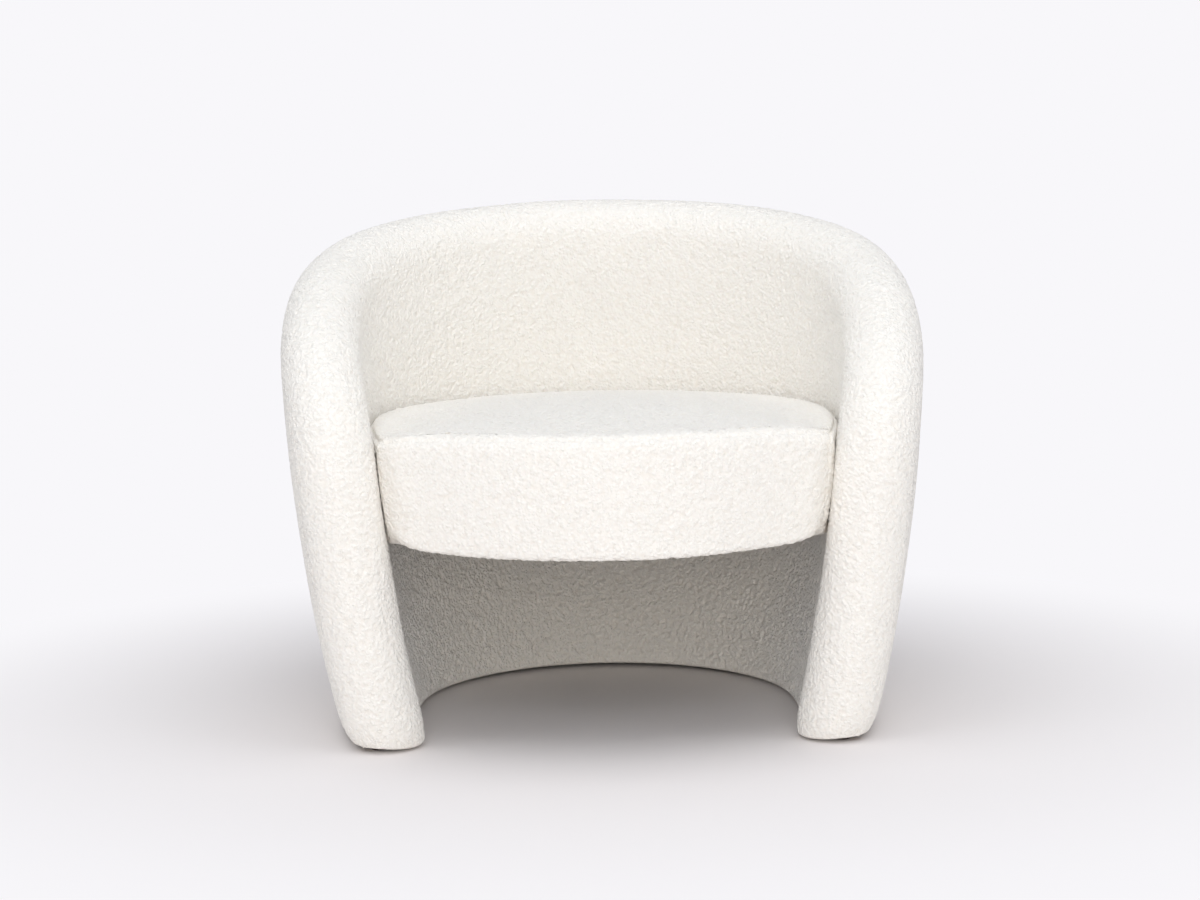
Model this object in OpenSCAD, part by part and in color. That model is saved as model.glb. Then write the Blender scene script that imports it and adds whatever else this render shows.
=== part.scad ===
// Tub chair. One thick padded wall runs down to the floor and bends round the back and both sides.
// Its rim sweeps from the back down to the arms and on down their front edges.
// A D shaped seat hangs between the arms over an open space. The front faces -Y.
// Lengths are millimetres. The wall is described as a flat panel that has been bent:
// s runs along its centre line from the middle of the back, z is the height above the floor,
// and "off" is the distance outwards from the centre line.

/* [Wall plan] */
// Radius of the wall's centre line round the back
back_radius = 355; // [345:1:365]
// Half of the back arc's angle, in degrees
back_angle = 35; // [33:1:37]
// Radius of the centre line at each back corner
corner_radius = 384; // [374:1:394]
// Angle of each corner arc, in degrees
corner_angle = 48; // [46:1:50]
// Radius of the centre line along each arm
arm_radius = 735; // [700:5:800]
// Length of each arm's arc
arm_length = 325; // [310:1:335]
// Thickness of the padded wall
wall_t = 103; // [100:1:108]

/* [Wall height] */
// Height of the rim at the middle of the back
back_height = 690; // [665:1:715]
// Height at which an arm's front edge starts to curve back
arm_front_height = 320; // [312:1:335]
// Power of the rim's curve along the wall
run_power = 1.98; // [1.85:0.01:2.1]
// Power of the rim's curve up the wall
rise_power = 2.4; // [2.2:0.01:2.6]
// Distance that the wall's foot is drawn in under its rim
draw_in = 66; // [60:1:75]
// Height above which the wall stands plumb
draw_in_height = 558; // [520:1:590]
// Depth of the rounding along the rim and the front edges
nose_depth = 57; // [54:1:62]

/* [Wall layers] */
// Thickness of the looped wool cloth
cover_t = 3; // [2.5:0.1:4]
// Thickness of the foam on the inside of the wall
inside_foam_t = 33; // [30:1:36]
// Thickness of the foam on the outside of the wall
outside_foam_t = 12; // [10:1:14]
// Thickness of the bent skins
skin_t = 4; // [3:0.5:5]
// Thickness of the plywood
ply_t = 18; // [15:1:20]
// Distance from the rim to the rail that carries it
rim_foam_t = 40; // [38:1:44]
// Depth of the rim rail
rail_d = 18; // [16:1:22]
// Number of upright formers
former_count = 9; // [7:2:11]

/* [Seat] */
// Distance from the back's inside face to the front of the seat
seat_depth = 650; // [635:1:665]
// Distance from the wall's front edge to the seat's front corner, along the wall
seat_set_back = 40; // [30:1:45]
// Height of the seat's lower edge at the arms
seat_bottom = 259; // [254:1:260]
// Drop of the lower edge at the middle of the front
seat_sag = 7; // [3:1:12]
// Height of the top seam at the arms
seam_height = 392; // [386:1:398]
// Rise of the top seam at the middle of the front
seam_rise = 8; // [4:1:12]
// Height of the cushion's crown
crown_height = 418; // [412:1:426]
// Distance of the crown behind the middle of the chair
crown_back = 40; // [0:1:80]
// Thickness of the foam round the seat rails
seat_foam_t = 22; // [20:1:24]
// Thickness of the seat rails
seat_rail_t = 22; // [18:1:24]
// Height of the seat rails' top
seat_rail_top = 345; // [342:1:347]

/* [Webbing] */
// Width of an elastic strap
web_w = 55; // [45:1:60]
// Thickness of a strap
web_t = 2; // [1.5:0.1:2.2]
// Number of straps from front to back
long_count = 5; // [3:2:5]
// Number of straps from side to side
cross_count = 4; // [3:1:4]
// Distance between neighbouring straps, as a share of the room between the rails
web_pitch_share = 0.16; // [0.154:0.002:0.166]

/* [Feet] */
// Height of the glides
glide_h = 5; // [4:0.5:8]
// Diameter of a glide
glide_d = 25; // [22:1:28]
// Diameter of a glide's nail
glide_nail_d = 3; // [2.5:0.1:4]
// Length of a glide's nail in the wood
glide_nail_l = 14; // [10:1:15]

/* [Screws] */
// Diameter of a seat screw
screw_d = 5; // [4:0.5:6]
// Diameter of its countersunk head
screw_head_d = 10; // [9:0.5:11]
// Length of a seat screw
screw_l = 30; // [25:1:32]

/* [Hidden] */
// Clearance between layers, and between pieces that are glued or stapled
fit = 0.3;
// Clearance between the plywood and the outside skin, whose facets cut inside the true curve
ply_clear = 2;
// Thickness of the dust covers
dust_t = 1;
// Clearance between the seat and the wall's inside face
seat_gap = 0.5;
// Height of the seat's shelf in the wall, which is hidden behind the seat
shelf_z = 262;
// Width of the platform's frame inside the seat rails
platform_w = 52;
// Share of the run at which the outermost formers stand
former_run_share = 0.82;
// Shares of the run at which the seat screws and the glides stand
screw_run_shares = [0.2, 0.5, 0.8];
glide_run_shares = [0.24, 0.62, 0.94];
// Steps along the rim, up the front edges, round the nose and down the upper wall
top_steps = 44;
low_steps = 4;
nose_steps = 6;
upper_steps = 3;
// Share by which the steps along the rim draw together at the back
ease_share = 0.08;
// Steps along a flat ring
band_cols = 72;
// Overrun of a cut
over = 1;
$fn = 96;

deg = 180 / PI;
side_angle = back_angle + corner_angle;
back_run = back_radius * back_angle / deg;
corner_run = corner_radius * corner_angle / deg;
half_run = back_run + corner_run + arm_length;
back_y = seat_depth / 2;
back_c = [0, back_y - back_radius];
corner_c = back_c + (back_radius - corner_radius) * [sin(back_angle), cos(back_angle)];
arm_c = corner_c + (corner_radius - arm_radius) * [sin(side_angle), cos(side_angle)];
half_t = wall_t / 2;

// Faces of the layers, outwards from the centre line
cover_in = half_t - cover_t;
core_in = inside_foam_t + skin_t - cover_in;
core_out = cover_in - outside_foam_t - skin_t;
nose_core = nose_depth;

// Heights of the wall's pieces
cover_z = glide_h;
ring_z = glide_h + dust_t;
ring_top = ring_z + ply_t;
platform_z = shelf_z + ply_t;
platform_top = platform_z + ply_t;
slot_low = shelf_z - fit;
slot_high = platform_top + fit;
web_top = seat_rail_top + 2 * web_t + fit;

// Angle of the wall's normal from +Y, at run a on the +X side
function turn(a) =
    a < back_run ? a / back_radius * deg
    : a < back_run + corner_run ? back_angle + (a - back_run) / corner_radius * deg
    : side_angle + (a - back_run - corner_run) / arm_radius * deg;

function arc_centre(a) = a < back_run ? back_c : a < back_run + corner_run ? corner_c : arm_c;
function arc_radius(a) =
    a < back_run ? back_radius : a < back_run + corner_run ? corner_radius : arm_radius;

// Point in plan at run s, off outwards from the centre line
function plan(s, off) =
    let (a = abs(s), h = turn(a), c = arc_centre(a), r = arc_radius(a) + off)
    [sign(s) * (c.x + r * sin(h)), c.y + r * cos(h)];

// The wall leans outwards on its way up: a parabola that ends plumb
function lean(z) = z < draw_in_height ? -draw_in * pow(1 - z / draw_in_height, 2) : 0;
function wall_pt(p, off) = let (q = plan(p[0], lean(p[1]) + off)) [q.x, q.y, p[1]];

// The rim on the flat panel: a superellipse from the arms' front edges over the back
function rim_angle(x) = 90 * (x - ease_share * sin(180 * x));
function rim_pt(t) =
    [sign(t) * half_run * pow(abs(sin(t)), 2 / run_power),
     arm_front_height + (back_height - arm_front_height) * pow(cos(t), 2 / rise_power)];
function rim_height(s) =
    arm_front_height + (back_height - arm_front_height)
    * pow(1 - pow(abs(s) / half_run, run_power), 1 / rise_power);

// Heights of the rows below the rim's curve, from z_low up
function levels(z_low) =
    concat([for (k = [0:low_steps - 1]) z_low + (slot_low - z_low) * k / low_steps],
           [slot_low, slot_high, arm_front_height]);
edge_steps = low_steps + 2;

// The panel's outline, up the left front edge, over the rim and down the right edge
function outline(z_low) =
    let (lv = levels(z_low))
    concat([for (z = lv) [-half_run, z]],
           [for (j = [1:top_steps - 1]) rim_pt(rim_angle(2 * j / top_steps - 1))],
           [for (k = [0:edge_steps]) [half_run, lv[edge_steps - k]]]);

// Unit vector from an outline point into the panel
function inward(p) =
    p[1] <= arm_front_height ? [-sign(p[0]), 0]
    : let (gx = sign(p[0]) * run_power / half_run * pow(abs(p[0]) / half_run, run_power - 1),
           rise = back_height - arm_front_height,
           gz = rise_power / rise * pow((p[1] - arm_front_height) / rise, rise_power - 1),
           n = norm([gx, gz]))
      [-gx / n, -gz / n];

function mix(a, b, t) = a + (b - a) * t;
function quad(a, b, c, d, right) = right ? [b, c, d, a] : [a, b, c, d];
function solid_tris(quads) =
    [for (q = quads) each [[q[0], q[1], q[2]], [q[0], q[2], q[3]]]];
function whole_tris(tris) =
    [for (t = tris) if (t[0] != t[1] && t[1] != t[2] && t[0] != t[2]) t];
function flipped(tris) = [for (t = tris) [t[0], t[2], t[1]]];
function raised(tris, n) = [for (t = tris) [t[0] + n, t[1] + n, t[2] + n]];

// Closed solid between two like grids of points, joined along the loop that bounds them
module between(front, rear, tris, loop) {
    n = len(front);
    last = len(loop) - 1;
    strip = [for (k = [0:last])
        let (a = loop[k], b = loop[k < last ? k + 1 : 0]) if (a != b) [a, a + n, b + n, b]];
    polyhedron(concat(front, rear),
               concat(tris, raised(flipped(tris), n), solid_tris(strip)), convexity = 10);
}

// A layer of the wall. Each side is a list of [depth from the outline, off] rows round the nose;
// from the last row the layer goes on down the face, to the floor or to the slot of the seat.
function layer_pts(rows, z_low, face_rows) =
    let (line = outline(z_low), lv = levels(z_low), m = len(rows) - 1, e = rows[m][0])
    concat(
        [for (r = rows) for (p = line) wall_pt(p + r[0] * inward(p), r[1])],
        [for (k = [1:upper_steps]) for (j = [1:top_steps - 1])
            let (p = line[edge_steps + j], q = p + e * inward(p),
                 foot = [p[0] * (half_run - e) / half_run, arm_front_height])
            wall_pt(mix(q, foot, k / upper_steps), rows[m][1])],
        [for (v = [1:face_rows]) for (j = [1:top_steps - 1])
            wall_pt([line[edge_steps + j][0] * (half_run - e) / half_run, lv[edge_steps - v]],
                    rows[m][1])]);

function layer_id(m, p, j) =
    let (cols = 2 * edge_steps + top_steps + 1, below = max(0, p - upper_steps))
    p == 0 ? m * cols + edge_steps + j
    : j == 0 ? m * cols + edge_steps - below
    : j == top_steps ? m * cols + edge_steps + top_steps + below
    : (m + 1) * cols + (p - 1) * (top_steps - 1) + j - 1;

module wall_layer(front_rows, rear_rows, z_low, face_rows) {
    cols = 2 * edge_steps + top_steps + 1;
    m = len(front_rows) - 1;
    face = upper_steps + face_rows;
    nose = [for (r = [0:1:m - 1]) for (i = [0:cols - 2])
        quad(r * cols + i, r * cols + i + 1, (r + 1) * cols + i + 1, (r + 1) * cols + i,
             i >= cols / 2 - 1)];
    sheet = [for (p = [0:face - 1]) for (j = [0:top_steps - 1])
        quad(layer_id(m, p, j), layer_id(m, p, j + 1),
             layer_id(m, p + 1, j + 1), layer_id(m, p + 1, j), j >= top_steps / 2)];
    loop = concat(
        [for (i = [0:cols - 1]) i],
        [for (r = [1:1:m]) r * cols + cols - 1],
        [for (i = [cols - 2:-1:cols - 1 - edge_steps + face_rows]) m * cols + i],
        [for (j = [top_steps - 1:-1:0]) layer_id(m, face, j)],
        [for (i = [edge_steps - face_rows - 1:-1:0]) m * cols + i],
        [for (r = [m - 1:-1:1]) r * cols]);
    between(layer_pts(front_rows, z_low, face_rows), layer_pts(rear_rows, z_low, face_rows),
            whole_tris(solid_tris(concat(nose, sheet))), loop);
}

// A band of the inside face, below the seat's slot
module lower_layer(off_in, off_out, z_low) {
    lv = levels(z_low);
    line = outline(z_low);
    cols = top_steps + 1;
    rows = [for (k = [0:low_steps]) lv[low_steps - k]];
    grid = [for (off = [off_in, off_out]) [for (z = rows) for (j = [0:top_steps])
        wall_pt([line[edge_steps + j][0] * (half_run - nose_core) / half_run, z], off)]];
    quads = [for (r = [0:low_steps - 1]) for (j = [0:top_steps - 1])
        quad(r * cols + j, r * cols + j + 1, (r + 1) * cols + j + 1, (r + 1) * cols + j,
             j >= top_steps / 2)];
    loop = concat(
        [for (j = [0:cols - 1]) j],
        [for (r = [1:low_steps]) r * cols + cols - 1],
        [for (j = [cols - 2:-1:0]) low_steps * cols + j],
        [for (r = [low_steps - 1:-1:1]) r * cols]);
    between(grid[0], grid[1], solid_tris(quads), loop);
}

// Rows round the nose at a depth under the cloth, from the outside face to the inside face
function nose_rows(depth) =
    [for (k = [0:nose_steps]) let (a = 90 - 180 * k / nose_steps)
        [nose_core - (nose_core - depth) * cos(a), (half_t - depth) * sin(a)]];

// A flat ring that follows the wall for run to each side of the back
module wall_band(off_in, off_out, run, h) {
    linear_extrude(h)
        polygon(concat(
            [for (k = [0:band_cols]) plan(run * (2 * k / band_cols - 1), off_in)],
            [for (k = [0:band_cols]) plan(run * (1 - 2 * k / band_cols), off_out)]));
}

// Puts a piece at run s, off outwards, with its own x pointing outwards
module at_wall(s, off) {
    mirror([s < 0 ? 1 : 0, 0, 0])
        translate([plan(abs(s), off).x, plan(abs(s), off).y, 0])
            rotate([0, 0, 90 - turn(abs(s))])
                children();
}

former_run = former_run_share * half_run;
former_step = 2 * former_run / (former_count - 1);
lap_off = (core_in + core_out) / 2;
ring_in = lean(ring_top) + core_in + fit;
ring_out = lean(ring_z) + core_out - ply_clear;
ring_mid = (ring_in + ring_out) / 2;
ring_run = half_run - rim_foam_t - fit;
shelf_run = half_run - rim_foam_t - rail_d - 2 * fit;
shelf_in = lean(shelf_z) - cover_in + fit;

// The bottom ring, with a blind hole for each glide's nail
module base_ring() {
    color("burlywood")
        difference() {
            translate([0, 0, ring_z]) wall_band(ring_in, ring_out, ring_run, ply_t);
            for (s = glide_runs)
                at_wall(s, ring_mid)
                    translate([0, 0, ring_z - over])
                        cylinder(d = glide_nail_d, h = glide_nail_l + over);
        }
}

// The shelf ring that carries the seat, halved over the formers and drilled for the seat screws
module shelf_ring() {
    color("burlywood")
        difference() {
            translate([0, 0, shelf_z])
                wall_band(shelf_in, lean(shelf_z) + core_out - ply_clear, shelf_run, ply_t);
            for (k = [0:former_count - 1])
                at_wall(former_step * k - former_run, lean(shelf_z) + lap_off)
                    translate([0, -ply_t / 2 - fit / 2, shelf_z - over])
                        cube([wall_t, ply_t + fit, ply_t + 2 * over]);
            for (s = screw_runs)
                at_wall(s, screw_off)
                    translate([0, 0, shelf_z])
                        screw_hole();
        }
}

// An upright former: it follows both skins, is halved over the shelf and bevelled under the rail
module former(s) {
    a = abs(s);
    drop = rim_height(a - fit) - rim_height(a + fit);
    tilt = atan(drop / (2 * fit));
    top = rim_height(a) - (rim_foam_t + rail_d + ply_clear) / cos(tilt);
    steps = 12;
    heights = [for (k = [0:steps]) mix(ring_top, top + ply_t, k / steps)];
    profile = concat(
        [for (z = heights) [lean(z) + core_in + fit, z]],
        [for (k = [steps:-1:0]) [lean(heights[k]) + core_out - ply_clear, heights[k]]]);
    color("burlywood")
        at_wall(s, 0)
            difference() {
                intersection() {
                    rotate([90, 0, 0])
                        linear_extrude(ply_t, center = true)
                            polygon(profile);
                    translate([0, 0, top])
                        rotate([tilt, 0, 0])
                            translate([-half_t - draw_in, -back_height, -2 * back_height])
                                cube([wall_t + draw_in, 2 * back_height, 2 * back_height]);
                }
                translate([lean(shelf_z) + lap_off - wall_t, -ply_t, shelf_z - fit / 2])
                    cube([wall_t, 2 * ply_t, ply_t + fit]);
            }
}

// A length of the rim's rail: a square section swept along the outline
module rail(first, last) {
    line = outline(ring_top);
    e = [rim_foam_t + fit, rim_foam_t + rail_d];
    off = [core_in + fit, core_out - fit];
    pts = [for (i = [first:last]) let (p = line[i], n = inward(p))
        each [wall_pt(p + e[0] * n, off[0]), wall_pt(p + e[0] * n, off[1]),
              wall_pt(p + e[1] * n, off[1]), wall_pt(p + e[1] * n, off[0])]];
    count = last - first;
    sides = [for (i = [0:count - 1]) for (k = [0:3])
        quad(4 * i + k, 4 * i + (k + 1) % 4, 4 * i + 4 + (k + 1) % 4, 4 * i + 4 + k,
             first + i >= last_col / 2)];
    ends = [[0, 3, 2, 1], [4 * count, 4 * count + 1, 4 * count + 2, 4 * count + 3]];
    color("tan")
        polyhedron(pts, solid_tris(concat(sides, ends)), convexity = 10);
}

arm_cols = 12;
last_col = 2 * edge_steps + top_steps;
module left_post() { rail(0, edge_steps); }
module left_arm_rail() { rail(edge_steps, edge_steps + arm_cols); }
module back_rail() { rail(edge_steps + arm_cols, last_col - edge_steps - arm_cols); }
module right_arm_rail() { rail(last_col - edge_steps - arm_cols, last_col - edge_steps); }
module right_post() { rail(last_col - edge_steps, last_col); }

// The bent skins that close the frame
module inside_skin() {
    color("peru")
        wall_layer([[rim_foam_t + fit, core_in - skin_t], [nose_core, core_in - skin_t]],
                   [[rim_foam_t + fit, core_in], [nose_core, core_in]], ring_z, 1);
}

module lower_skin() {
    color("peru") lower_layer(core_in - skin_t, core_in, ring_z);
}

module outside_skin() {
    color("peru")
        wall_layer([[rim_foam_t + fit, core_out], [nose_core, core_out]],
                   [[rim_foam_t + fit, core_out + skin_t], [nose_core, core_out + skin_t]],
                   ring_z, edge_steps);
}

// Foam on the inside face above the seat, rolled over the rim and the front edges
module inside_foam() {
    inside = core_in - skin_t - fit;
    outside = core_out + skin_t + fit;
    flat_steps = nose_steps - 2;
    box = concat(
        [[nose_core, outside]],
        [for (k = [0:flat_steps]) [rim_foam_t, mix(outside, inside, k / flat_steps)]],
        [[nose_core, inside]]);
    color("khaki") wall_layer(nose_rows(cover_t + fit), box, ring_z + fit, 1);
}

module lower_foam() {
    color("khaki") lower_layer(fit - cover_in, core_in - skin_t - fit, ring_z + fit);
}

module outside_foam() {
    color("khaki")
        wall_layer([[nose_core + fit, core_out + skin_t + fit]], [[nose_core + fit, cover_in - fit]],
                   ring_z + fit, edge_steps);
}

// The cloth: one piece rolls over the rim, one closes the outside, one lines the space below
module wall_cover() {
    color("ivory") wall_layer(nose_rows(0), nose_rows(cover_t), cover_z, 1);
}

module outside_cover() {
    color("ivory")
        wall_layer([[nose_core + fit, cover_in]], [[nose_core + fit, half_t]],
                   cover_z, edge_steps);
}

module lower_cover() {
    color("ivory") lower_layer(-half_t, -cover_in, cover_z);
}

// Plan of the wall's foot inside the cloth, with the round of its front ends
function foot_outline(off, grow) =
    let (run = half_run - nose_core, n = top_steps, ends = 6)
    concat(
        [for (k = [0:n]) plan(run * (2 * k / n - 1), off + grow)],
        [for (k = [1:ends]) let (a = 90 * (1 - 2 * k / ends))
            plan(run + (nose_core - half_t + grow) * cos(a), off + grow * sin(a))],
        [for (k = [1:n]) plan(run * (1 - 2 * k / n), off - grow)],
        [for (k = [1:ends - 1]) let (a = 90 * (1 - 2 * k / ends))
            plan(-run - (nose_core - half_t + grow) * cos(a), off - grow * sin(a))]);

module base_dust_cover() {
    color("dimgray")
        difference() {
            translate([0, 0, cover_z])
                linear_extrude(dust_t)
                    polygon(foot_outline(lean(cover_z), cover_in - fit));
            for (s = glide_runs)
                at_wall(s, ring_mid)
                    translate([0, 0, cover_z - over])
                        cylinder(d = glide_nail_d, h = dust_t + 2 * over);
        }
}

glide_runs = [for (side = [-1, 1]) for (share = glide_run_shares) side * share * half_run];
screw_runs = [for (side = [-1, 1]) for (share = screw_run_shares) side * share * shelf_run];
screw_off = lean(platform_z) - half_t + seat_foam_t + screw_head_d / 2;

// A glide with its nail
module glide(s) {
    edge = glide_h / 3;
    color("saddlebrown")
        at_wall(s, ring_mid) {
            cylinder(d1 = glide_d - 2 * edge, d2 = glide_d, h = edge);
            translate([0, 0, edge]) cylinder(d = glide_d, h = glide_h - edge);
            cylinder(d = glide_nail_d - fit, h = ring_z + glide_nail_l - fit);
        }
}

// Countersunk hole and screw, standing on the shelf's underside
module screw_hole() {
    head_h = (screw_head_d - screw_d) / 2;
    translate([0, 0, -over]) cylinder(d = screw_d, h = screw_l + 2 * over);
    cylinder(d1 = screw_head_d, d2 = screw_d, h = head_h);
    translate([0, 0, -over]) cylinder(d = screw_head_d, h = over);
}

module seat_screw(s) {
    head_h = (screw_head_d - screw_d) / 2;
    color("silver")
        at_wall(s, screw_off)
            translate([0, 0, shelf_z]) {
                cylinder(d1 = screw_head_d - fit, d2 = screw_d - fit, h = head_h);
                cylinder(d = screw_d - fit, h = screw_l);
            }
}

// Seat. Its plan follows the wall's inside face, and its front is bowed.
seat_run = half_run - seat_set_back;
seat_round = 24;
side_cols = 30;
front_cols = 16;
seat_cols = side_cols + front_cols + 6;
front_y = -(seat_depth + wall_t) / 2;
corner_y = plan(seat_run, -half_t - seat_gap).y;
bow = corner_y - front_y;
// The platform's edge lies on the shelf up to this run, two columns short of the seat's front
lap_cols = 2;
shelf_end = (seat_run - seat_round) * (1 - 2 * lap_cols / side_cols);

function seat_side(s, inset, z) = plan(s, lean(z) - half_t - seat_gap - inset);
function seat_half(inset, z) = seat_side(seat_run, inset, z).x;
function seat_front(x, inset, z) =
    [x, corner_y + inset - bow * (1 - pow(x / seat_half(inset, z), 2))];
function bend(a, b, c, t) = mix(mix(a, b, t), mix(b, c, t), t);
function seat_corner(inset, z, t) =
    bend(seat_side(seat_run - seat_round, inset, z), [seat_half(inset, z), corner_y + inset],
         seat_front(seat_half(inset, z) - seat_round, inset, z), t);
function mirrored(p) = [-p.x, p.y];

// Plan point of column i: the sides and back first, then a corner, the front and a corner
function seat_xy(i, inset, z) =
    let (run = seat_run - seat_round, half = seat_half(inset, z) - seat_round,
         f = i - side_cols - 3, g = f - front_cols)
    i <= side_cols ? seat_side(run * (2 * i / side_cols - 1), inset, z)
    : f < 0 ? seat_corner(inset, z, (i - side_cols) / 3)
    : g <= 0 ? seat_front(half * (1 - 2 * f / front_cols), inset, z)
    : mirrored(seat_corner(inset, z, 1 - g / 3));

// How far a column is along the bowed front: 0 at the arms, 1 in the middle
function front_share(i) =
    let (f = (i - side_cols - 3) / front_cols) f < 0 || f > 1 ? 0 : 1 - pow(2 * f - 1, 2);
function on_shelf(i) = i >= lap_cols && i <= side_cols - lap_cols;
function low_edge(i) = on_shelf(i) ? platform_top + fit : seat_bottom - seat_sag * front_share(i);
function top_seam(i) = seam_height + seam_rise * front_share(i);

// Rows of the cushion's section: depth from the widest outline, place between the edge and the seam,
// height past that place, and the direction in which the cloth's inside face lies
edge_round = 9;
side_lip = 12;
front_lip = 30;
function cushion_rows(i) = [
    [on_shelf(i) ? side_lip : front_lip, 0, 0, [0, 1]],
    [edge_round, 0, 0, [0.6, 0.8]],
    [edge_round / 4, 0, edge_round, [1, 0.2]],
    [0, 0.5, 0, [1, 0]],
    [edge_round / 4, 1, -edge_round * 1.4, [1, -0.2]],
    [edge_round, 1, 0, [0.7, -0.7]],
    [edge_round * 2.4, 1, edge_round, [0.3, -0.95]]];
crown_shares = [0.18, 0.4, 0.68];
crown_c = [0, crown_back];

function cushion_pt(i, row, depth) =
    let (r = cushion_rows(i)[row], z = mix(low_edge(i), top_seam(i), r[1]) + r[2] + depth * r[3][1],
         q = seat_xy(i, r[0] + depth * r[3][0], z))
    [q.x, q.y, z];
function crown_pt(i, share, depth) =
    let (p = cushion_pt(i, len(cushion_rows(i)) - 1, depth), q = mix([p.x, p.y], crown_c, share))
    [q.x, q.y, mix(p.z, crown_height - depth, 1 - pow(1 - share, 2))];

// All rows of the cushion's skin from row "first" up to the crown's middle point
function cushion_pts(first, depth) = concat(
    [for (row = [first:6]) for (i = [0:seat_cols - 1]) cushion_pt(i, row, depth)],
    [for (share = crown_shares) for (i = [0:seat_cols - 1]) crown_pt(i, share, depth)],
    [[crown_c.x, crown_c.y, crown_height - depth]]);

// The hollow of the foam: upright round the rails, flat over the straps
function hollow_pts() =
    let (in = cover_t + seat_foam_t, steps = [in, in, in, in, in + edge_round, in + 3 * edge_round])
    concat(
        [for (row = [1:6]) for (i = [0:seat_cols - 1])
            let (low = low_edge(i) + (on_shelf(i) ? 0 : cover_t + fit),
                 z = row < 4 ? mix(low, web_top + fit, (row - 1) / 3) : web_top + fit,
                 q = seat_xy(i, steps[row - 1], z))
            [q.x, q.y, z]],
        [for (share = crown_shares) for (i = [0:seat_cols - 1])
            let (q = mix(seat_xy(i, steps[5], web_top), crown_c, share))
            [q.x, q.y, web_top + fit]],
        [[crown_c.x, crown_c.y, web_top + fit]]);

function ring_tris(count) = concat(
    solid_tris([for (r = [0:count - 2]) for (i = [0:seat_cols - 1])
        let (j = (i + 1) % seat_cols)
        [r * seat_cols + i, (r + 1) * seat_cols + i, (r + 1) * seat_cols + j, r * seat_cols + j]]),
    [for (i = [0:seat_cols - 1])
        [(count - 1) * seat_cols + i, count * seat_cols, (count - 1) * seat_cols + (i + 1) % seat_cols]]);

module seat_cover() {
    color("ivory")
        between(cushion_pts(0, 0), cushion_pts(0, cover_t), ring_tris(10),
                [for (i = [seat_cols - 1:-1:0]) i]);
}

module seat_foam() {
    color("khaki")
        between(cushion_pts(1, cover_t + fit), hollow_pts(), ring_tris(9),
                [for (i = [seat_cols - 1:-1:0]) i]);
}

rail_inset = cover_t + seat_foam_t + fit;
rail_off = lean(platform_top) - half_t - seat_gap - rail_inset - fit;
front_rail_inset = rail_inset + seat_rail_t;

// Plan of the front from right to left, at an inset from the cloth
function front_half(z) = seat_half(rail_inset, z) - seat_round;
function front_line(inset, z, count) =
    [for (k = [0:count])
        seat_front(front_half(z) * (1 - 2 * k / count), rail_inset, z) + [0, inset - rail_inset]];
function reversed(list) = [for (k = [len(list) - 1:-1:0]) list[k]];

// The bowed front rail, with its lower edge cut to the sag of the seat
module seat_front_rail() {
    half = front_half(seat_bottom);
    low = seat_bottom + cover_t + 2 * fit;
    count = 16;
    color("tan")
        intersection() {
            linear_extrude(seat_rail_top)
                polygon(concat(front_line(rail_inset + fit, seat_bottom, count),
                               reversed(front_line(front_rail_inset, seat_bottom, count))));
            translate([0, front_y + seat_depth, 0])
                rotate([90, 0, 0])
                    linear_extrude(seat_depth)
                        polygon(concat(
                            [[-half - over, seat_rail_top], [-half - over, low]],
                            [for (k = [0:count]) let (u = 2 * k / count - 1)
                                [half * u, low - seat_sag * (1 - u * u)]],
                            [[half + over, low], [half + over, seat_rail_top]]));
        }
}

// The rail round the sides and back, on the platform
side_rail_run = seat_run - front_rail_inset - seat_round / 2;
module seat_side_rail() {
    color("tan")
        translate([0, 0, platform_top])
            wall_band(rail_off - seat_rail_t, rail_off, side_rail_run, seat_rail_top - platform_top);
}

// Plan of the platform: its edge reaches off into the wall's slot, then it steps in between the
// seat's foam sides, and its front butts on the front rail
platform_off = lean(platform_z) + core_in - seat_gap;
platform_in = lean(platform_z) - half_t - seat_gap - rail_inset - fit;
function step_in(off) =
    [for (s = [shelf_end, mix(shelf_end, side_rail_run, 0.5), side_rail_run]) plan(s, off)];
function platform_plan(off, in, inset) = concat(
    [for (k = [0:side_cols]) plan(shelf_end * (2 * k / side_cols - 1), off)],
    step_in(in),
    front_line(inset, platform_z, front_cols),
    reversed([for (q = step_in(in)) mirrored(q)]));

module seat_platform() {
    color("burlywood")
        difference() {
            translate([0, 0, platform_z])
                linear_extrude(ply_t)
                    difference() {
                        polygon(platform_plan(platform_off, platform_in, front_rail_inset + fit));
                        polygon(concat(
                            [for (k = [0:side_cols])
                                plan((shelf_end - platform_w) * (2 * k / side_cols - 1),
                                     platform_in - platform_w)],
                            front_line(front_rail_inset + platform_w, platform_z, front_cols)));
                    }
            for (s = screw_runs)
                at_wall(s, screw_off)
                    translate([0, 0, shelf_z])
                        screw_hole();
        }
}

module seat_dust_cover() {
    color("dimgray")
        translate([0, 0, platform_z - dust_t - fit])
            linear_extrude(dust_t)
                polygon(platform_plan(shelf_in - 2 * fit, platform_in, front_rail_inset + 2 * fit));
}

// Height of the woven strap that is number k, where it meets strap m of the other set
function web_lift(k, m) = (k + m) % 2 == 0 ? web_t + fit / 2 : 0;
web_mid_y = (front_y + back_y - half_t) / 2;
function long_place(k) =
    2 * rail_side_x(web_mid_y) * web_pitch_share * (k - (long_count - 1) / 2);
function cross_place(m) =
    web_mid_y
    + (rail_back_y(0) - rail_front_y(0)) * web_pitch_share * (m - (cross_count - 1) / 2);

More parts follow.
